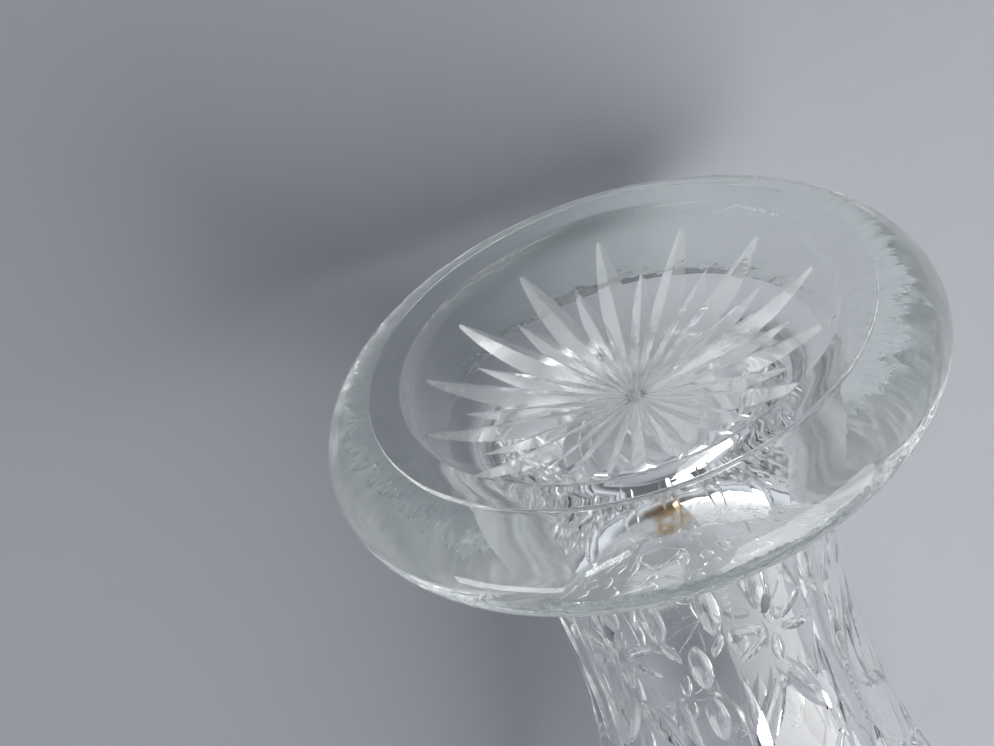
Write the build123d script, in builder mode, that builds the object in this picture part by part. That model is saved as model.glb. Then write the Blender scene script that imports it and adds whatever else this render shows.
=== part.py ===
from build123d import *
import math
import os

# A hyacinth forcing vase in clear pressed glass, in millimetres.
# It stands on the plane z = 0, upright along +Z, with its axis through the origin.
# The heavy foot is one pressing. The hollow body is another, joined hot to the foot's top,
# out to where the foot's shoulder turns flat.

# Foot, outside
foot_radius = 47.5
foot_height = 17.5
widest_height = 8.0
shoulder_radius = 32.8
ring_outer_radius = 38.5
ring_step = 0.7

# Foot, hollow underside: a short steep wall and a spherical dome
ring_inner_radius = 33.5
recess_wall_height = 3.6
recess_wall_lean = 1.0
recess_depth = 13.0

# Star of raised ribs on the hollow underside
ray_count = 14
star_start_radius = 0.6
long_ray_radius = 32.6
long_ray_rise = 1.3
short_ray_radius = 25.6
short_ray_rise = 1.0
ray_half_angle = 63.0
ray_highest_share = 0.5
ray_rib_height = 2.0

# Body, outside: the sweep's shares place the control points between the foot and the waist
overall_height = 157.0
waist_radius = 23.5
waist_height = 60.0
mouth_radius = 41.8
sweep_heights_share = (0.055, 0.45, 0.82)
sweep_radii_share = (0.0, 0.12, 0.0)
flare_heights_share = (0.17, 0.46, 0.77)
flare_radii_share = (0.06, 0.30, 0.71)

# Body, inside
wall = 4.0
floor_thickness = 5.5
chamber_corner_share = 0.4

# Ornament pressed into the body: almond hollows, as petals, leaves and beads
cut_overrun_share = 1.12
repeat_count = 6
leaves_turn = 14.0

collar_count = 18
collar_height = 36.5
collar_length = 11.0
collar_width = 3.6
collar_depth = 0.9
collar_turn = 5.0

flower_height = 46.0
flower_turn = 44.0
petal_count = 6
petal_length = 6.4
petal_width = 2.3
petal_depth = 0.7
petal_gap = 1.2

leaf_heights = (48.5, 60.5)
leaf_length = 10.0
leaf_width = 3.6
leaf_depth = 0.9

bud_height = 44.5
bud_length = 5.0
bud_width = 1.8
bud_depth = 0.5
bud_turn = 8.5
bud_tilt = 24.0

stem_heights = (67.6, 70.4, 73.2, 76.0, 78.8)
stem_length = 1.9
stem_width = 1.3
stem_depth = 0.35

blade_height = 66.0
blade_length = 19.0
blade_width = 3.4
blade_depth = 0.9
blade_turn = 13.0

spray_height = 63.5
spray_length = 16.0
spray_width = 4.6
spray_depth = 1.0
spray_turn = 10.0
spray_tilt = 27.0

vein_height = 80.0
vein_length = 15.0
vein_width = 2.4
vein_depth = 0.6
vein_turn = 8.0
vein_tilt = -38.0

crown_height = 88.0
crown_length = 13.0
crown_width = 4.2
crown_depth = 1.0

fan_height = 113.0
fan_length = 26.0
fan_width = 5.6
fan_depth = 1.1
fan_tilt = 12.0
fan_turn = 14.5
upper_flower_height = 101.0
upper_petal_length = 7.6
upper_petal_width = 2.8

band_count = 24
band_height = 139.5
band_length = 10.0
band_width = 4.4
band_depth = 0.9

os.makedirs("parts", exist_ok=True)


dome_edge_radius = ring_inner_radius - recess_wall_lean
dome_rise = recess_depth - recess_wall_height
dome_sphere_radius = (dome_edge_radius**2 + dome_rise**2) / (2 * dome_rise)


def dome_height(radius):
    """Height of the hollow underside at a distance from the axis."""
    return recess_depth - dome_sphere_radius + math.sqrt(dome_sphere_radius**2 - radius**2)


def ray_rib(tip_radius, rise):
    """One ray along +X: a bowed rib, its crest downwards and its base inside the glass."""
    highest_radius = star_start_radius + ray_highest_share * (tip_radius - star_start_radius)
    half_width = ray_rib_height * math.tan(math.radians(ray_half_angle))
    with BuildPart() as rib:
        with BuildLine(Plane.XZ) as path:
            ThreePointArc(
                (star_start_radius, dome_height(star_start_radius)),
                (highest_radius, dome_height(highest_radius) - rise),
                (tip_radius, dome_height(tip_radius)),
            )
        edge = path.line.edges()[0]
        start_plane = Plane(edge.position_at(0), x_dir=(0, 1, 0), z_dir=edge.tangent_at(0))
        with BuildSketch(start_plane):
            Polygon(
                (0, 0),
                (-half_width, ray_rib_height),
                (half_width, ray_rib_height),
                align=None,
            )
        sweep(path=path.line)
    return rib.part


def hollow_cutter(length, width, depth):
    """A barrel along X, standing out of the surface, which presses one almond hollow."""
    barrel_radius = (width**2 / 4 + depth**2) / (2 * depth)
    rise = barrel_radius - depth
    arc_radius = (length**2 / 4 + depth**2) / (2 * depth)
    reach = cut_overrun_share * length / 2
    end_drop = arc_radius - math.sqrt(arc_radius**2 - reach**2)
    end_radius = barrel_radius - end_drop
    with BuildPart() as cutter:
        with BuildSketch(Plane.XZ):
            with BuildLine():
                ThreePointArc(
                    (-reach, rise - end_radius), (0, -depth), (reach, rise - end_radius)
                )
                Polyline(
                    (reach, rise - end_radius), (reach, rise), (-reach, rise),
                    (-reach, rise - end_radius),
                )
            make_face()
        revolve(axis=Axis((0, 0, rise), (1, 0, 0)))
    return cutter.part


def spread(share_list, start, end):
    """Values that lie between two sizes at the given shares."""
    return [start + share * (end - start) for share in share_list]


with BuildPart() as foot:
    with BuildSketch(Plane.XZ):
        with BuildLine():
            dome = ThreePointArc(
                (0, recess_depth),
                (dome_edge_radius / 2, dome_height(dome_edge_radius / 2)),
                (dome_edge_radius, recess_wall_height),
            )
            Polyline(
                dome @ 1,
                (ring_inner_radius, 0),
                (ring_outer_radius, 0),
                (ring_outer_radius, ring_step),
            )
            EllipticalCenterArc(
                (ring_outer_radius, widest_height),
                foot_radius - ring_outer_radius,
                widest_height - ring_step,
                start_angle=-90,
                arc_size=90,
            )
            shoulder = EllipticalCenterArc(
                (shoulder_radius, widest_height),
                foot_radius - shoulder_radius,
                foot_height - widest_height,
                start_angle=0,
                arc_size=90,
            )
            Polyline(shoulder @ 1, (0, foot_height), dome @ 0)
        make_face()
    revolve(axis=Axis.Z)
    with PolarLocations(0, ray_count):
        add(ray_rib(long_ray_radius, long_ray_rise))
    with PolarLocations(0, ray_count, start_angle=180 / ray_count):
        add(ray_rib(short_ray_radius, short_ray_rise))
foot.part.label = "foot"

sweep_heights = spread(sweep_heights_share, foot_height, waist_height)
sweep_radii = spread(sweep_radii_share, waist_radius, shoulder_radius)
rim_height = overall_height - wall / 2
flare_heights = spread(flare_heights_share, waist_height, rim_height)
flare_radii = spread(flare_radii_share, waist_radius, mouth_radius)
floor_height = foot_height + floor_thickness
corner_radius = chamber_corner_share * waist_radius

with BuildPart() as body:
    with BuildSketch(Plane.XZ):
        with BuildLine():
            lower = Bezier(
                (shoulder_radius, foot_height),
                *zip(sweep_radii, sweep_heights),
                (waist_radius, waist_height),
            )
            upper = Spline(
                (waist_radius, waist_height),
                *zip(flare_radii, flare_heights),
                (mouth_radius, rim_height),
                tangents=[(0, 1), (1, 3)],
            )
            rim = ThreePointArc(
                upper @ 1, (mouth_radius - wall / 2, overall_height), (mouth_radius - wall, rim_height)
            )
            inner_upper = Spline(
                rim @ 1,
                *reversed([(r - wall, h) for r, h in zip(flare_radii, flare_heights)]),
                (waist_radius - wall, waist_height),
                tangents=[(-1, -3), (0, -1)],
            )
            Line(inner_upper @ 1, (waist_radius - wall, floor_height + corner_radius))
            corner = EllipticalCenterArc(
                (waist_radius - wall - corner_radius, floor_height + corner_radius),
                corner_radius,
                corner_radius,
                start_angle=0,
                arc_size=-90,
            )
            Polyline(corner @ 1, (0, floor_height), (0, foot_height), lower @ 0)
        make_face()
    revolve(axis=Axis.Z)


def surface_plane(height, turn, tilt):
    """A plane on the body's outside: Z points out, X up the wall, leaned by the tilt."""
    profile = lower if height < waist_height else upper
    low, high = 0, 1
    while high - low > 1e-6:
        middle = (low + high) / 2
        if (profile @ middle).Y < height:
            low = middle
        else:
            high = middle
    point = profile @ low
    slope = profile % low
    around = math.radians(turn)
    upward = Vector(slope.X * math.cos(around), slope.X * math.sin(around), slope.Y)
    outward = Vector(slope.Y * math.cos(around), slope.Y * math.sin(around), -slope.X)
    origin = (point.X * math.cos(around), point.X * math.sin(around), point.Y)
    return Plane(origin, x_dir=upward, z_dir=outward).rotated((0, 0, tilt))


def press(cutter, places):
    """Presses one cutter into the body at each place: height, turn and tilt."""
    with body:
        with Locations(*[surface_plane(*place) for place in places]):
            add(cutter, mode=Mode.SUBTRACT)


def body_radius(height):
    """Outside radius of the body at a height."""
    return math.hypot(surface_plane(height, 0, 0).origin.X, surface_plane(height, 0, 0).origin.Y)


def flower(height, turn, length):
    """Places of the petals round one flower."""
    reach = petal_gap + length / 2
    radius = body_radius(height)
    places = []
    for number in range(petal_count):
        lean = 360 / petal_count * number
        rise = reach * math.cos(math.radians(lean))
        aside = -reach * math.sin(math.radians(lean))
        places.append((height + rise, turn + math.degrees(aside / radius), lean))
    return places


def ring_of(count, height, first_turn):
    """Places of upright hollows, evenly spaced round the body."""
    return [(height, first_turn + 360 / count * number, 0) for number in range(count)]


def pairs_of(turns, height, aside, tilt):
    """Places of two hollows that lean towards or away from each turn."""
    return [(height, turn + side * aside, side * tilt) for turn in turns for side in (-1, 1)]


repeat_turn = 360 / repeat_count
leaf_turns = [leaves_turn + repeat_turn * number for number in range(repeat_count)]
flower_turns = [flower_turn + repeat_turn * number for number in range(repeat_count)]

press(
    hollow_cutter(collar_length, collar_width, collar_depth),
    ring_of(collar_count, collar_height, collar_turn),
)
press(
    hollow_cutter(petal_length, petal_width, petal_depth),
    [place for turn in flower_turns for place in flower(flower_height, turn, petal_length)],
)
press(
    hollow_cutter(leaf_length, leaf_width, leaf_depth),
    [(height, turn, 0) for turn in leaf_turns for height in leaf_heights],
)
press(
    hollow_cutter(bud_length, bud_width, bud_depth),
    pairs_of(leaf_turns, bud_height, bud_turn, bud_tilt),
)
press(
    hollow_cutter(stem_length, stem_width, stem_depth),
    [(height, turn, 0) for turn in leaf_turns for height in stem_heights],
)
press(
    hollow_cutter(blade_length, blade_width, blade_depth),
    pairs_of(leaf_turns, blade_height, blade_turn, 0),
)
press(
    hollow_cutter(spray_length, spray_width, spray_depth),
    pairs_of(flower_turns, spray_height, spray_turn, -spray_tilt),
)
press(
    hollow_cutter(vein_length, vein_width, vein_depth),
    pairs_of(flower_turns, vein_height, vein_turn, -vein_tilt),
)
press(
    hollow_cutter(crown_length, crown_width, crown_depth),
    [(crown_height, turn, 0) for turn in leaf_turns],
)
press(
    hollow_cutter(fan_length, fan_width, fan_depth),
    pairs_of(leaf_turns, fan_height, fan_turn, fan_tilt)
    + [(fan_height, turn, 0) for turn in leaf_turns],
)
press(
    hollow_cutter(upper_petal_length, upper_petal_width, petal_depth),
    [
        place
        for turn in flower_turns
        for place in flower(upper_flower_height, turn, upper_petal_length)
    ],
)
press(
    hollow_cutter(band_length, band_width, band_depth),
    ring_of(band_count, band_height, 0),
)
body.part.label = "body"

export_step(foot.part, "parts/foot.step")
export_step(body.part, "parts/body.step")
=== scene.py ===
import math

import bpy
from mathutils import Euler, Matrix, Vector


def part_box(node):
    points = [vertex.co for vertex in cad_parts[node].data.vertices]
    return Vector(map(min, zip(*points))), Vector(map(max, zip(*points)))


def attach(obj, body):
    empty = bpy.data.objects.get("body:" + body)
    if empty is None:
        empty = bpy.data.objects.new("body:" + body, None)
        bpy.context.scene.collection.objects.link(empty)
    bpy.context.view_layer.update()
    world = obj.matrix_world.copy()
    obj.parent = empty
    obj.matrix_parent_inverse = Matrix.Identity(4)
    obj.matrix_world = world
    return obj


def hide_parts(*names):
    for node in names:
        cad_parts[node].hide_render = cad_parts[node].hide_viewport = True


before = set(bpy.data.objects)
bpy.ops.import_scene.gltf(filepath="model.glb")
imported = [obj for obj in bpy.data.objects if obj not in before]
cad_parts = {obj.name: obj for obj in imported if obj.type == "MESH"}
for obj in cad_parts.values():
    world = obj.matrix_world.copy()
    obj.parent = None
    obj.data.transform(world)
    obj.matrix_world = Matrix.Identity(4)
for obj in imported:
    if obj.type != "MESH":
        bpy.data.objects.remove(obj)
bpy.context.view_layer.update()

# A hyacinth forcing vase in clear pressed glass. Lengths are in metres, written as millimetres
# times MM. Turns and tilts are in degrees unless their line says otherwise.
MM = 0.001


def metres(*millimetres):
    """Lengths in metres, given in millimetres."""
    return tuple(length * MM for length in millimetres)


# Foot: its outside, the standing ring and the hollow underside, a shallow dome with a short wall
foot_radius = 47.5 * MM
foot_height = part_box("foot")[1][2]
widest_height = 8.0 * MM
shoulder_radius = 32.8 * MM
ring_outer_radius = 38.5 * MM
ring_step = 0.7 * MM
ring_inner_radius = 33.5 * MM
ring_rounding = 0.3 * MM
recess_wall_height = 3.6 * MM
recess_wall_lean = 1.0 * MM
recess_depth = 13.0 * MM
recess_rounding = 1.4 * MM
dome_edge_radius = ring_inner_radius - recess_wall_lean
dome_rise = recess_depth - recess_wall_height
dome_sphere_radius = (dome_edge_radius**2 + dome_rise**2) / (2 * dome_rise)

# Star under the foot
ray_count = 14
star_start_radius = 0.6 * MM
long_ray_radius = 32.6 * MM
long_ray_rise = 1.3 * MM
short_ray_radius = 25.6 * MM
short_ray_rise = 1.0 * MM
ray_half_angle = math.radians(63)
ray_highest_share = 0.5
ray_rib_height = 2.0 * MM

# Body; the shares place points of its outline between the foot, the waist and the rim, and they
# count heights from the lower end and radii from the waist
overall_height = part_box("body")[1][2]
waist_radius = 23.5 * MM
waist_height = 60.0 * MM
mouth_radius = 41.8 * MM
sweep_heights_share = (0.055, 0.45, 0.82)
sweep_radii_share = (0.0, 0.12, 0.0)
flare_heights_share = (0.17, 0.46, 0.77)
flare_radii_share = (0.06, 0.30, 0.71)
rim_slope = (1, 3)
wall = 4.0 * MM
floor_thickness = 5.5 * MM
chamber_corner_share = 0.4

# Fineness of the outlines, the spins, the ribs and the hollows' cutters, and two tolerances
corner_steps = 5
dome_steps = 36
low_edge_steps = 20
shoulder_steps = 28
sweep_steps = 56
rim_steps = 12
chamber_corner_steps = 16
outline_step = 0.9 * MM
ring_flat_step = 1.0 * MM
inside_step = 2 * MM
flat_step = 3 * MM
foot_steps = 256
body_steps = 216
ray_segments = 24
cutter_segments = 24
cutter_rings = 22
weld_distance = 0.001 * MM
level_tolerance = 0.01 * MM

# Ornament: repeats round the body, and each hollow's length, width and depth
repeat_count = 6
leaves_turn = 14.0
flower_turn = 44.0
petal_count = 6
petal_gap = 1.2 * MM
low_almond = metres(11.0, 3.6, 0.9)
lower_petal = metres(6.4, 2.3, 0.7)
stacked_leaf = metres(10.0, 3.6, 0.9)
bud = metres(5.0, 1.8, 0.5)
stem_bead = metres(1.9, 1.3, 0.35)
stem_border = metres(19.0, 3.4, 0.9)
waist_leaf = metres(16.0, 4.6, 1.0)
spray = metres(15.0, 2.4, 0.6)
stem_tip = metres(13.0, 4.2, 1.0)
fan_leaf = metres(26.0, 5.6, 1.1)
upper_petal = metres(7.6, 2.8, 0.7)
rim_almond = metres(10.0, 4.4, 0.9)
stacked_leaf_heights = metres(48.5, 60.5)
stem_bead_heights = metres(67.6, 70.4, 73.2, 76.0, 78.8)

# Glass: tints, ripples of the mould as pairs of size and height, how clear the milky finishes
# are, and patches of frost as their lowest and highest roughness and their size. The cove's
# finish goes up to a height above the joint, and the ribs' where they stand out of the dome.
glass_ior = 1.5
foot_tint = (0.965, 0.99, 0.98)
rib_tint = (0.98, 0.99, 0.985)
side_tint = (0.91, 0.985, 0.955)
low_tint = (0.95, 0.99, 0.975)
body_tint = (0.985, 0.995, 0.99)
foot_ripples = (metres(9, 0.05),)
low_ripples = (metres(9, 0.08), metres(3, 0.02))
side_ripples = (metres(7, 0.6), metres(2, 0.12))
body_ripples = (metres(7, 0.03),)
rib_clearness = 0.78
side_clearness = 0.93
low_clearness = 0.92
rib_frost = (0.06, 0.2, 6 * MM)
side_frost = (0.0, 0.12, 5 * MM)
low_frost = (0.0, 0.06, 4 * MM)
frost_noise_range = (0.42, 0.68)
cove_roughness = 0.16
cove_height = 5 * MM
rib_stand = 0.02 * MM
smooth_angle = math.radians(24)
noise_detail = 2.0
frost_detail = 3.0

# Numbers of the finishes in each piece's list
on_clear, on_joint, on_ribs, on_shoulder, on_low_side = range(5)
on_cove = 2

# Brown stain on the foot's low side; the noise moves its edge by up to the rag's depth, and the
# edge fades between two distances past the reach
stain_turn = math.radians(306)
stain_radius = 42.0 * MM
stain_height = 1.3 * MM
stain_reach = 2.4 * MM
stain_colour = (0.50, 0.30, 0.12)
stain_rag_size = 1.6 * MM
stain_rag_depth = 9 * MM
stain_fade = metres(3.2, 5.6)

# Camera, from the photograph
camera_place = metres(113.1, -162.9, -134.4)
camera_angles = (-126.139, -17.644, -138.072)
camera_lens = 58.67
camera_clip = 10 * MM

# Floor, the grey board at the vase's side, and the room; the room's walls turn into its ceiling
# between two cosines of the angle to the board's facing
board_size = 8
board_gap = 0.05 * MM
board_turn = 119.4
board_roughness = 0.7
floor_colour = (0.46, 0.47, 0.50)
floor_shine = 0.0
floor_seen_by = ("Is Camera Ray", "Is Glossy Ray", "Is Transmission Ray")
board_colour = (0.50, 0.51, 0.56)
board_shine = 0.5
wall_colour = (0.68, 0.71, 0.77)
ceiling_colour = (0.12, 0.13, 0.145)
ceiling_cosines = (0.15, 0.55)

# Lamps: name, direction from the vase as the camera sees it (right, up, towards the camera),
# distance, size, power, colour, and whether it lights the glass alone
lamps = (
    ("window", (0.74, -0.52, 0.44), 0.58, 0.55, 3.3, (1.0, 0.98, 0.95), False),
    ("far_window", (-0.5, 0.6, 0.75), 0.75, 0.2, 2.6, (0.97, 0.98, 1.0), True),
    ("left_window", (-0.78, -0.42, 0.5), 0.6, 0.4, 3.0, (0.97, 0.99, 1.0), True),
)


def deselect():
    """Leaves edit mode and deselects everything."""
    if bpy.context.object and bpy.context.object.mode != "OBJECT":
        bpy.ops.object.mode_set(mode="OBJECT")
    bpy.ops.object.select_all(action="DESELECT")


def activate(piece):
    """Selects one object alone and makes it active."""
    deselect()
    piece.select_set(True)
    bpy.context.view_layer.objects.active = piece


def settle(piece):
    """Puts a piece's place into its mesh, so that its object sits at the origin."""
    activate(piece)
    bpy.ops.object.transform_apply(location=True, rotation=True, scale=True)


def edit_edges(piece, chosen):
    """Enters edit mode with only the chosen edges of the active piece selected."""
    bpy.ops.object.mode_set(mode="EDIT")
    bpy.context.tool_settings.mesh_select_mode = (False, True, False)
    bpy.ops.mesh.select_all(action="DESELECT")
    bpy.ops.object.mode_set(mode="OBJECT")
    for edge in piece.data.edges:
        edge.select = chosen(edge)
    bpy.ops.object.mode_set(mode="EDIT")


def face_outward():
    """Turns the faces of the active piece outward."""
    bpy.ops.object.mode_set(mode="EDIT")
    bpy.ops.mesh.select_all(action="SELECT")
    bpy.ops.mesh.normals_make_consistent(inside=False)
    bpy.ops.object.mode_set(mode="OBJECT")


def corner(before, at, after, size):
    """Points of a rounded corner between two straight runs of an outline."""
    before, at, after = Vector(before), Vector(at), Vector(after)
    start = at + (before - at).normalized() * size
    end = at + (after - at).normalized() * size
    points = []
    for number in range(corner_steps + 1):
        t = number / corner_steps
        points.append(tuple((1 - t) ** 2 * start + 2 * t * (1 - t) * at + t * t * end))
    return points


def arc(centre, across, up, start, end, steps):
    """Points of an ellipse's arc between two angles in degrees."""
    points = []
    for number in range(steps + 1):
        angle = math.radians(start + (end - start) * number / steps)
        points.append((centre[0] + across * math.cos(angle), centre[1] + up * math.sin(angle)))
    return points


def straight(start, end, step):
    """Points of a straight run, without its first one."""
    start, end = Vector(start), Vector(end)
    count = max(1, round((end - start).length / step))
    return [tuple(start.lerp(end, number / count)) for number in range(1, count + 1)]


def smooth_line(points, start_slope, end_slope, step):
    """A smooth curve through points, with its direction given at both ends."""
    points = [Vector(p) for p in points]
    slopes = [Vector(start_slope).normalized()]
    for before, after in zip(points, points[2:]):
        slopes.append((after - before).normalized())
    slopes.append(Vector(end_slope).normalized())
    line = [tuple(points[0])]
    for p, q, a, b in zip(points, points[1:], slopes, slopes[1:]):
        length = (q - p).length
        count = max(2, round(length / step))
        for number in range(1, count + 1):
            t = number / count
            place = (
                (2 * t**3 - 3 * t**2 + 1) * p
                + (t**3 - 2 * t**2 + t) * length * a
                + (3 * t**2 - 2 * t**3) * q
                + (t**3 - t**2) * length * b
            )
            line.append(tuple(place))
    return line


def controlled(points, steps):
    """A smooth curve from the first point to the last, drawn towards those between them."""
    line = []
    for number in range(steps + 1):
        places = [Vector(p) for p in points]
        while len(places) > 1:
            places = [p.lerp(q, number / steps) for p, q in zip(places, places[1:])]
        line.append(tuple(places[0]))
    return line


def spread(share_list, start, end):
    """Values that lie between two sizes at the given shares."""
    return [start + share * (end - start) for share in share_list]


def circle_through(a, b, c):
    """Centre and radius of the circle through three points."""
    ab, ac = b - a, c - a
    cross = 2 * (ab.x * ac.y - ab.y * ac.x)
    x = (ac.y * ab.length_squared - ab.y * ac.length_squared) / cross
    y = (ab.x * ac.length_squared - ac.x * ab.length_squared) / cross
    offset = Vector((x, y))
    return a + offset, offset.length


def spun(name, outline, steps):
    """Spins an outline of radius and height, open at the axis, into a closed piece."""
    deselect()
    bpy.ops.mesh.primitive_circle_add(vertices=len(outline), radius=1, fill_type="NOTHING")
    piece = bpy.context.object
    piece.name = name
    for vertex, (radius, height) in zip(piece.data.vertices, outline):
        vertex.co = (radius, 0, height)
    ends = {0, len(outline) - 1}
    edit_edges(piece, lambda edge: set(edge.vertices) == ends)
    bpy.ops.mesh.delete(type="EDGE")
    bpy.ops.mesh.select_all(action="SELECT")
    bpy.ops.mesh.spin(steps=steps, angle=2 * math.pi, center=(0, 0, 0), axis=(0, 0, 1))
    bpy.ops.mesh.select_all(action="SELECT")
    bpy.ops.mesh.remove_doubles(threshold=weld_distance)
    bpy.ops.object.mode_set(mode="OBJECT")
    face_outward()
    return piece


def joined(cutters, name):
    """Joins cutters to one object."""
    deselect()
    for cutter in cutters:
        cutter.select_set(True)
    bpy.context.view_layer.objects.active = cutters[0]
    bpy.ops.object.join()
    bpy.context.object.name = name
    return bpy.context.object


def boolean(piece, tool, operation):
    """Adds a tool to a piece or presses it in, and deletes the tool."""
    activate(piece)
    change = piece.modifiers.new("pressing", "BOOLEAN")
    change.operation = operation
    change.solver = "MANIFOLD"
    change.object = tool
    bpy.ops.object.modifier_apply(modifier=change.name)
    bpy.data.objects.remove(tool)


def dome_height(radius):
    """Height of the hollow underside at a distance from the axis."""
    return recess_depth - dome_sphere_radius + math.sqrt(dome_sphere_radius**2 - radius**2)


def foot_outline():
    """Outline of the foot's section, from the middle of its underside round to its top."""
    dome_edge = (dome_edge_radius, recess_wall_height)
    inner_foot = (ring_inner_radius, 0)
    outer_foot = (ring_outer_radius, 0)
    last_radius = dome_edge_radius - recess_rounding
    radii = [last_radius * number / dome_steps for number in range(dome_steps + 1)]
    line = [(radius, dome_height(radius)) for radius in radii]
    line += corner(line[-1], dome_edge, inner_foot, recess_rounding)[1:]
    line += corner(dome_edge, inner_foot, outer_foot, ring_rounding)
    line += straight(
        (ring_inner_radius + ring_rounding, 0),
        (ring_outer_radius - ring_rounding, 0),
        ring_flat_step,
    )
    line += corner(inner_foot, outer_foot, (ring_outer_radius, ring_step), ring_rounding)[1:]
    line += arc(
        (ring_outer_radius, widest_height),
        foot_radius - ring_outer_radius,
        widest_height - ring_step,
        -90,
        0,
        low_edge_steps,
    )
    line += arc(
        (shoulder_radius, widest_height),
        foot_radius - shoulder_radius,
        foot_height - widest_height,
        0,
        90,
        shoulder_steps,
    )[1:]
    line += straight((shoulder_radius, foot_height), (0, foot_height), flat_step)
    return line


def ray_rib(tip_radius, rise, turn):
    """A curved rib with its V edge downwards, one raised ray of the star."""
    deselect()
    bpy.ops.mesh.primitive_cylinder_add(vertices=3, radius=1, depth=2, end_fill_type="NGON")
    rib = bpy.context.object

    def runs_along(edge):
        low, high = (rib.data.vertices[number].co for number in edge.vertices)
        return abs(low.z - high.z) > 1

    edit_edges(rib, runs_along)
    bpy.ops.mesh.subdivide(number_cuts=ray_segments - 1)
    bpy.ops.object.mode_set(mode="OBJECT")
    start = Vector((star_start_radius, dome_height(star_start_radius)))
    highest_radius = star_start_radius + ray_highest_share * (tip_radius - star_start_radius)
    highest = Vector((highest_radius, dome_height(highest_radius) - rise))
    tip = Vector((tip_radius, dome_height(tip_radius)))
    centre, radius = circle_through(start, highest, tip)
    first = math.atan2(start.y - centre.y, start.x - centre.x)
    last = math.atan2(tip.y - centre.y, tip.x - centre.x)
    slant = math.tan(ray_half_angle)
    edge_y = max(vertex.co.y for vertex in rib.data.vertices)
    around = Matrix.Rotation(turn, 4, "Z")
    for vertex in rib.data.vertices:
        along = (vertex.co.z + 1) / 2
        angle = first + (last - first) * along
        at_edge = math.isclose(vertex.co.y, edge_y, abs_tol=0.01)
        lift = 0 if at_edge else ray_rib_height
        aside = 0 if at_edge else math.copysign(ray_rib_height * slant, vertex.co.x)
        reach = radius + lift
        place = (centre.x + reach * math.cos(angle), aside, centre.y + reach * math.sin(angle))
        vertex.co = around @ Vector(place)
    face_outward()
    return rib


def make_foot():
    """The heavy foot, with its standing ring, hollow underside and star."""
    piece = spun("foot_glass", foot_outline(), foot_steps)
    step = 2 * math.pi / ray_count
    ribs = [ray_rib(long_ray_radius, long_ray_rise, step * n) for n in range(ray_count)]
    ribs += [ray_rib(short_ray_radius, short_ray_rise, step * (n + 0.5)) for n in range(ray_count)]
    boolean(piece, joined(ribs, "star_ribs"), "UNION")
    return piece


# The body's outside, from its joint with the foot up to the rim, as points of radius and height
rim_height = overall_height - wall / 2
shoulder_point = (shoulder_radius, foot_height)
waist_point = (waist_radius, waist_height)
sweep_points = zip(
    spread(sweep_radii_share, waist_radius, shoulder_radius),
    spread(sweep_heights_share, foot_height, waist_height),
)
flare_points = zip(
    spread(flare_radii_share, waist_radius, mouth_radius),
    spread(flare_heights_share, waist_height, rim_height),
)
lower_points = [shoulder_point, *sweep_points, waist_point]
upper_points = [waist_point, *flare_points, (mouth_radius, rim_height)]
outside_line = controlled(lower_points, sweep_steps)
outside_line += smooth_line(upper_points, (0, 1), rim_slope, outline_step)[1:]


def body_outline():
    """Outline of the body's section, from its joint up the outside and down the inside."""
    inner_radius = waist_radius - wall
    floor_height = foot_height + floor_thickness
    corner_radius = chamber_corner_share * waist_radius
    inner_points = [(radius - wall, height) for radius, height in reversed(upper_points)]
    down_slope = (-rim_slope[0], -rim_slope[1])
    line = [(0, foot_height)] + straight((0, foot_height), shoulder_point, flat_step)
    line += outside_line[1:]
    line += arc((mouth_radius - wall / 2, rim_height), wall / 2, wall / 2, 0, 180, rim_steps)[1:]
    line += smooth_line(inner_points, down_slope, (0, -1), inside_step)[1:]
    corner_top = (inner_radius, floor_height + corner_radius)
    line += straight((inner_radius, waist_height), corner_top, inside_step)
    corner_centre = (inner_radius - corner_radius, corner_top[1])
    line += arc(corner_centre, corner_radius, corner_radius, 0, -90, chamber_corner_steps)[1:]
    line += straight((corner_centre[0], floor_height), (0, floor_height), inside_step)
    return line


def surface_frame(height, turn, tilt):
    """A frame on the body's outside: Z points out, X up the wall, leaned by the tilt."""
    for low, high in zip(outside_line, outside_line[1:]):
        if high[1] >= height:
            break
    share = (height - low[1]) / (high[1] - low[1])
    radius = low[0] + share * (high[0] - low[0])
    slope = (Vector(high) - Vector(low)).normalized()
    up = Vector((slope.x, 0, slope.y))
    out = Vector((slope.y, 0, -slope.x))
    side = out.cross(up)
    frame_matrix = Matrix((up, side, out)).transposed().to_4x4()
    frame_matrix.translation = (radius, 0, height)
    lean = Matrix.Rotation(math.radians(tilt), 4, "Z")
    return Matrix.Rotation(math.radians(turn), 4, "Z") @ frame_matrix @ lean


def hollow_cutter(length, width, depth):
    """A spindle along X, standing out of the surface, which presses one almond hollow."""
    spindle_radius = (width**2 / 4 + depth**2) / (2 * depth)
    rise = spindle_radius - depth
    arc_radius = (length**2 / 4 + depth**2) / (2 * depth)
    reach = math.sqrt(arc_radius**2 - (arc_radius - spindle_radius) ** 2)
    deselect()
    bpy.ops.mesh.primitive_uv_sphere_add(
        segments=cutter_segments, ring_count=cutter_rings, radius=1
    )
    cutter = bpy.context.object
    for vertex in cutter.data.vertices:
        along = 1 - 2 * math.acos(max(-1, min(1, vertex.co.z))) / math.pi
        around = math.atan2(vertex.co.y, vertex.co.x)
        x = along * reach
        radius = max(0, math.sqrt(arc_radius**2 - x**2) - arc_radius + spindle_radius)
        vertex.co = (x, radius * math.sin(around), rise - radius * math.cos(around))
    face_outward()
    return cutter


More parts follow.
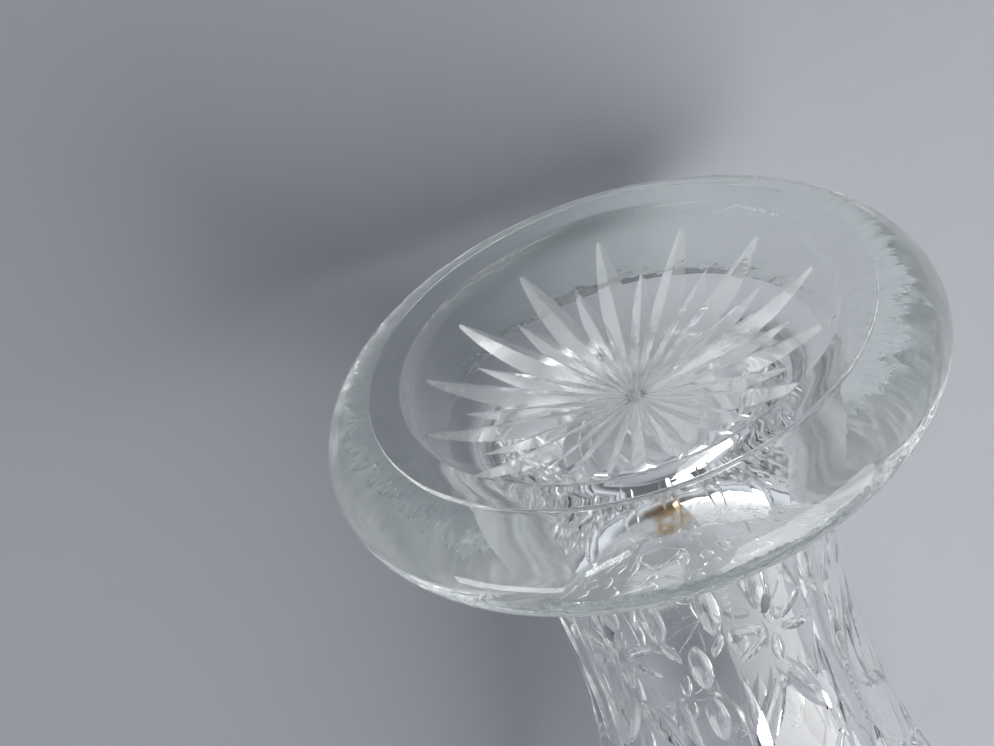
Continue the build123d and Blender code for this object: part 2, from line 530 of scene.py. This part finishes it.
def placed(cutter, places):
    """Copies of a cutter at each place: height, turn and tilt."""
    copies = []
    for place in places:
        copy = cutter.copy()
        copy.data = cutter.data.copy()
        copy.data.transform(surface_frame(*place))
        bpy.context.collection.objects.link(copy)
        copies.append(copy)
    bpy.data.objects.remove(cutter)
    return copies


def ring_of(count, height, first_turn):
    """Places of upright hollows, evenly spaced round the body."""
    return [(height, first_turn + 360 / count * number, 0) for number in range(count)]


def stacks_of(turns, heights):
    """Places of upright hollows above each other at each turn."""
    return [(height, turn, 0) for turn in turns for height in heights]


def pairs_of(turns, height, aside, tilt):
    """Places of two hollows that lean towards or away from each turn."""
    return [(height, turn + side * aside, side * tilt) for turn in turns for side in (-1, 1)]


def flowers_of(turns, height, petal_length):
    """Places of the petals round a flower at each turn."""
    reach = petal_gap + petal_length / 2
    radius = surface_frame(height, 0, 0).translation.x
    places = []
    for turn in turns:
        for number in range(petal_count):
            lean = 360 / petal_count * number
            rise = reach * math.cos(math.radians(lean))
            aside = -reach * math.sin(math.radians(lean))
            places.append((height + rise, turn + math.degrees(aside / radius), lean))
    return places


def ornament():
    """All the hollows pressed into the body's outside."""
    turn = 360 / repeat_count
    leaf_turns = [leaves_turn + turn * number for number in range(repeat_count)]
    flower_turns = [flower_turn + turn * number for number in range(repeat_count)]
    fan_height = 113.0 * MM
    fans = pairs_of(leaf_turns, fan_height, aside=14.5, tilt=12)
    fans += stacks_of(leaf_turns, [fan_height])
    rows = (
        (low_almond, ring_of(18, height=36.5 * MM, first_turn=5)),
        (lower_petal, flowers_of(flower_turns, 46.0 * MM, lower_petal[0])),
        (stacked_leaf, stacks_of(leaf_turns, stacked_leaf_heights)),
        (bud, pairs_of(leaf_turns, height=44.5 * MM, aside=8.5, tilt=24)),
        (stem_bead, stacks_of(leaf_turns, stem_bead_heights)),
        (stem_border, pairs_of(leaf_turns, height=66.0 * MM, aside=13, tilt=0)),
        (waist_leaf, pairs_of(flower_turns, height=63.5 * MM, aside=10, tilt=-27)),
        (spray, pairs_of(flower_turns, height=80.0 * MM, aside=8, tilt=38)),
        (stem_tip, stacks_of(leaf_turns, [88.0 * MM])),
        (fan_leaf, fans),
        (upper_petal, flowers_of(flower_turns, 101.0 * MM, upper_petal[0])),
        (rim_almond, ring_of(24, height=139.5 * MM, first_turn=0)),
    )
    cutters = []
    for sizes, places in rows:
        cutters += placed(hollow_cutter(*sizes), places)
    return joined(cutters, "ornament_cutters")


def make_body():
    """The hollow body, with its chamber, waist, cup and pressed ornament."""
    piece = spun("body_glass", body_outline(), body_steps)
    boolean(piece, ornament(), "DIFFERENCE")
    return piece


def socket(node, name, value):
    """Sets a named input of a node."""
    node.inputs[name].default_value = value


def new_material(name):
    """A material with nothing but its output node."""
    material = bpy.data.materials.new(name)
    material.use_nodes = True
    nodes = material.node_tree.nodes
    for node in list(nodes):
        if node.type != "OUTPUT_MATERIAL":
            nodes.remove(node)
    return material, nodes, material.node_tree.links


def operation_node(nodes, kind, operation):
    """A Math or Vector Math node set to one operation."""
    node = nodes.new(kind)
    node.operation = operation
    return node


def colour_mix(nodes, first, second):
    """A mix of two colours: the input for the second one's share, and the result."""
    mix = nodes.new("ShaderNodeMix")
    mix.data_type = "RGBA"
    inputs = [item for item in mix.inputs if item.type == "RGBA"]
    for item, colour in zip(inputs, (first, second)):
        item.default_value = (*colour, 1)
    result = next(item for item in mix.outputs if item.type == "RGBA")
    return mix.inputs["Factor"], result


def noise_output(nodes, links, coordinates, size, detail):
    """Noise of the given size over a piece."""
    noise = nodes.new("ShaderNodeTexNoise")
    socket(noise, "Scale", 1 / size)
    socket(noise, "Detail", detail)
    links.new(coordinates, noise.inputs["Vector"])
    return noise.outputs["Fac"]


def glass_material(name, tint, ripples, clearness=1.0, roughness=0.0, frost=None):
    """Pressed glass: clear or milky, with ripples of the mould, and with patches of frost or
    one roughness all over."""
    material, nodes, links = new_material(name)
    glass = nodes.new("ShaderNodeBsdfPrincipled")
    socket(glass, "Base Color", (*tint, 1))
    socket(glass, "Roughness", roughness)
    socket(glass, "IOR", glass_ior)
    socket(glass, "Transmission Weight", clearness)
    coordinates = nodes.new("ShaderNodeTexCoord").outputs["Object"]
    normal = None
    for size, height in ripples:
        bump = nodes.new("ShaderNodeBump")
        socket(bump, "Strength", 1.0)
        socket(bump, "Distance", height)
        noise = noise_output(nodes, links, coordinates, size, noise_detail)
        links.new(noise, bump.inputs["Height"])
        if normal:
            links.new(normal, bump.inputs["Normal"])
        normal = bump.outputs["Normal"]
    links.new(normal, glass.inputs["Normal"])
    if frost:
        low, high, size = frost
        ramp = nodes.new("ShaderNodeMapRange")
        socket(ramp, "From Min", frost_noise_range[0])
        socket(ramp, "From Max", frost_noise_range[1])
        socket(ramp, "To Min", low)
        socket(ramp, "To Max", high)
        noise = noise_output(nodes, links, coordinates, size, frost_detail)
        links.new(noise, ramp.inputs["Value"])
        links.new(ramp.outputs["Result"], glass.inputs["Roughness"])
    links.new(glass.outputs["BSDF"], nodes["Material Output"].inputs["Surface"])
    return material


def add_stain(material, tint):
    """The small ragged brown stain, on a glass of the given tint."""
    nodes, links = material.node_tree.nodes, material.node_tree.links
    coordinates = nodes["Texture Coordinate"].outputs["Object"]
    across = (stain_radius * math.cos(stain_turn), stain_radius * math.sin(stain_turn))
    distance = operation_node(nodes, "ShaderNodeVectorMath", "DISTANCE")
    distance.inputs[1].default_value = (*across, stain_height)
    ragged = operation_node(nodes, "ShaderNodeMath", "MULTIPLY_ADD")
    ragged.inputs[1].default_value = stain_rag_depth
    edge = nodes.new("ShaderNodeMapRange")
    socket(edge, "From Min", stain_reach + stain_fade[0])
    socket(edge, "From Max", stain_reach + stain_fade[1])
    socket(edge, "To Min", 1.0)
    socket(edge, "To Max", 0.0)
    share, result = colour_mix(nodes, tint, stain_colour)
    rag = noise_output(nodes, links, coordinates, stain_rag_size, noise_detail)
    links.new(coordinates, distance.inputs[0])
    links.new(rag, ragged.inputs[0])
    links.new(distance.outputs["Value"], ragged.inputs[2])
    links.new(ragged.outputs["Value"], edge.inputs["Value"])
    links.new(edge.outputs["Result"], share)
    links.new(result, nodes["Principled BSDF"].inputs["Base Color"])


def joint_material():
    """The hot joint, where both glasses run into each other and nothing shows."""
    material, nodes, links = new_material("hot_joint")
    clear = nodes.new("ShaderNodeBsdfPrincipled")
    socket(clear, "Alpha", 0.0)
    links.new(clear.outputs["BSDF"], nodes["Material Output"].inputs["Surface"])
    return material


def dress(piece, finishes, choose):
    """Gives each face of a piece the finish that is chosen for its place."""
    piece.data.materials.clear()
    for finish in finishes:
        piece.data.materials.append(finish)
    for polygon in piece.data.polygons:
        heights = [piece.data.vertices[number].co.z for number in polygon.vertices]
        place = polygon.center
        radius = math.hypot(place.x, place.y)
        fused = max(abs(height - foot_height) for height in heights) < level_tolerance
        fused = fused and radius < shoulder_radius
        polygon.material_index = on_joint if fused else choose(radius, place.z)
    activate(piece)
    bpy.ops.object.shade_smooth_by_angle(angle=smooth_angle)


def foot_finish(radius, height):
    """Number of the foot's finish at a place, but for the joint."""
    if height > widest_height and (radius > ring_outer_radius or height > recess_depth):
        return on_shoulder
    if radius > ring_outer_radius:
        return on_low_side
    in_dome = radius < dome_edge_radius - recess_rounding
    if in_dome and height < dome_height(radius) - rib_stand:
        return on_ribs
    return on_clear


def body_finish(radius, height):
    """Number of the body's finish at a place, but for the joint."""
    on_side = radius > waist_radius and height < foot_height + cove_height
    return on_cove if on_side else on_clear


joint = joint_material()
foot = make_foot()
low_side_glass = glass_material(
    "low_side_glass", low_tint, low_ripples, low_clearness, frost=low_frost
)
add_stain(low_side_glass, low_tint)
foot_finishes = (
    glass_material("thick_clear_glass", foot_tint, foot_ripples),
    joint,
    glass_material("milky_rib_glass", rib_tint, foot_ripples, rib_clearness, frost=rib_frost),
    glass_material("rippled_side_glass", side_tint, side_ripples, side_clearness, frost=side_frost),
    low_side_glass,
)
dress(foot, foot_finishes, foot_finish)
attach(foot, "root")
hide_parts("foot")

body = make_body()
body_finishes = (
    glass_material("clear_glass", body_tint, body_ripples),
    joint,
    glass_material("soft_cove_glass", body_tint, body_ripples, roughness=cove_roughness),
)
dress(body, body_finishes, body_finish)
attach(body, "root")
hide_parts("body")


def board_material(name, colour, shine, seen_by):
    """A plain matt board that shows on its front only, to the kinds of ray given or to all."""
    material, nodes, links = new_material(name)
    board = nodes.new("ShaderNodeBsdfPrincipled")
    socket(board, "Base Color", (*colour, 1))
    socket(board, "Roughness", board_roughness)
    socket(board, "Specular IOR Level", shine)
    clear = nodes.new("ShaderNodeBsdfTransparent")
    geometry = nodes.new("ShaderNodeNewGeometry")
    front = operation_node(nodes, "ShaderNodeMath", "SUBTRACT")
    front.inputs[0].default_value = 1
    links.new(geometry.outputs["Backfacing"], front.inputs[1])
    shown = front.outputs[0]
    if seen_by:
        path = nodes.new("ShaderNodeLightPath")
        total = path.outputs[seen_by[0]]
        for kind in seen_by[1:]:
            either = operation_node(nodes, "ShaderNodeMath", "MAXIMUM")
            links.new(total, either.inputs[0])
            links.new(path.outputs[kind], either.inputs[1])
            total = either.outputs[0]
        both = operation_node(nodes, "ShaderNodeMath", "MULTIPLY")
        links.new(shown, both.inputs[0])
        links.new(total, both.inputs[1])
        shown = both.outputs[0]
    mix = nodes.new("ShaderNodeMixShader")
    links.new(shown, mix.inputs["Fac"])
    links.new(clear.outputs["BSDF"], mix.inputs[1])
    links.new(board.outputs["BSDF"], mix.inputs[2])
    links.new(mix.outputs["Shader"], nodes["Material Output"].inputs["Surface"])
    return material


def make_floor():
    """The plain floor under the foot, which doesn't show from below."""
    deselect()
    bpy.ops.mesh.primitive_plane_add(size=board_size, location=(0, 0, -board_gap))
    floor = bpy.context.object
    floor.name = "floor"
    floor.data.materials.append(
        board_material("pale_floor", floor_colour, floor_shine, floor_seen_by)
    )
    settle(floor)


def make_table():
    """The grey board that foot and mouth touch, the table in the photograph's view; gives the
    way it faces."""
    deselect()
    bpy.ops.mesh.primitive_plane_add(size=board_size)
    table = bpy.context.object
    table.name = "side_board"
    lean = math.atan2(foot_radius - mouth_radius, rim_height - widest_height)
    turn = Matrix.Rotation(math.radians(board_turn), 4, "Z")
    face = Matrix.Rotation(-math.pi / 2 - lean, 4, "Y")
    stand = Matrix.Translation((foot_radius + board_gap, 0, widest_height))
    table.matrix_world = turn @ stand @ face
    table.data.materials.append(board_material("grey_board", board_colour, board_shine, ()))
    settle(table)
    return (turn @ face).to_3x3() @ Vector((0, 0, 1))


def lamp(name, place, aim, size, power, colour):
    """A soft square lamp that looks at a point."""
    data = bpy.data.lights.new(name, "AREA")
    data.shape = "SQUARE"
    data.size = size
    data.energy = power
    data.color = colour
    light = bpy.data.objects.new(name, data)
    bpy.context.collection.objects.link(light)
    light.location = place
    light.rotation_euler = (Vector(aim) - Vector(place)).to_track_quat("-Z", "Y").to_euler()
    return light


def light_glass_only(light, pieces):
    """Keeps a lamp's light off the board and the floor, so that it shows only in the glass."""
    receivers = bpy.data.collections.new(light.name + "_receivers")
    for piece in pieces:
        receivers.objects.link(piece)
    light.light_linking.receiver_collection = receivers


def make_world(facing):
    """A plain pale room: bright walls all round the board, and a dimmer ceiling over it."""
    world = bpy.data.worlds.new("room")
    world.use_nodes = True
    nodes, links = world.node_tree.nodes, world.node_tree.links
    coordinates = nodes.new("ShaderNodeTexCoord")
    cosine = operation_node(nodes, "ShaderNodeVectorMath", "DOT_PRODUCT")
    cosine.inputs[1].default_value = facing
    height = nodes.new("ShaderNodeMapRange")
    height.interpolation_type = "SMOOTHSTEP"
    socket(height, "From Min", ceiling_cosines[0])
    socket(height, "From Max", ceiling_cosines[1])
    share, result = colour_mix(nodes, wall_colour, ceiling_colour)
    links.new(coordinates.outputs["Generated"], cosine.inputs[0])
    links.new(cosine.outputs["Value"], height.inputs["Value"])
    links.new(height.outputs["Result"], share)
    links.new(result, nodes["Background"].inputs["Color"])
    bpy.context.scene.world = world


def make_camera():
    """The camera at the photograph's angle."""
    data = bpy.data.cameras.new("camera")
    data.lens = camera_lens
    data.clip_start = camera_clip
    camera = bpy.data.objects.new("camera", data)
    bpy.context.collection.objects.link(camera)
    camera.location = camera_place
    camera.rotation_euler = Euler([math.radians(angle) for angle in camera_angles])
    bpy.context.scene.camera = camera
    return camera


def make_lamps(camera):
    """The lamps, each placed as the camera sees it and turned to the middle of the lower body."""
    sight = camera.rotation_euler.to_matrix()
    right, up, back = sight.col[0], sight.col[1], sight.col[2]
    middle = Vector((0, 0, overall_height / 3))
    for name, (aside, above, nearer), distance, size, power, colour, glass_only in lamps:
        place = middle + distance * (aside * right + above * up + nearer * back)
        light = lamp(name, place, middle, size, power, colour)
        if glass_only:
            light_glass_only(light, (foot, body))


camera = make_camera()
make_floor()
board_facing = make_table()
make_lamps(camera)
make_world(board_facing)

# Clear glass needs many bounces, inside it and through the joint
bounces = bpy.context.scene.cycles
bounces.max_bounces = 32
bounces.transmission_bounces = 32
bounces.glossy_bounces = 16
bounces.transparent_max_bounces = 32

bpy.context.scene.view_settings.view_transform = "Standard"
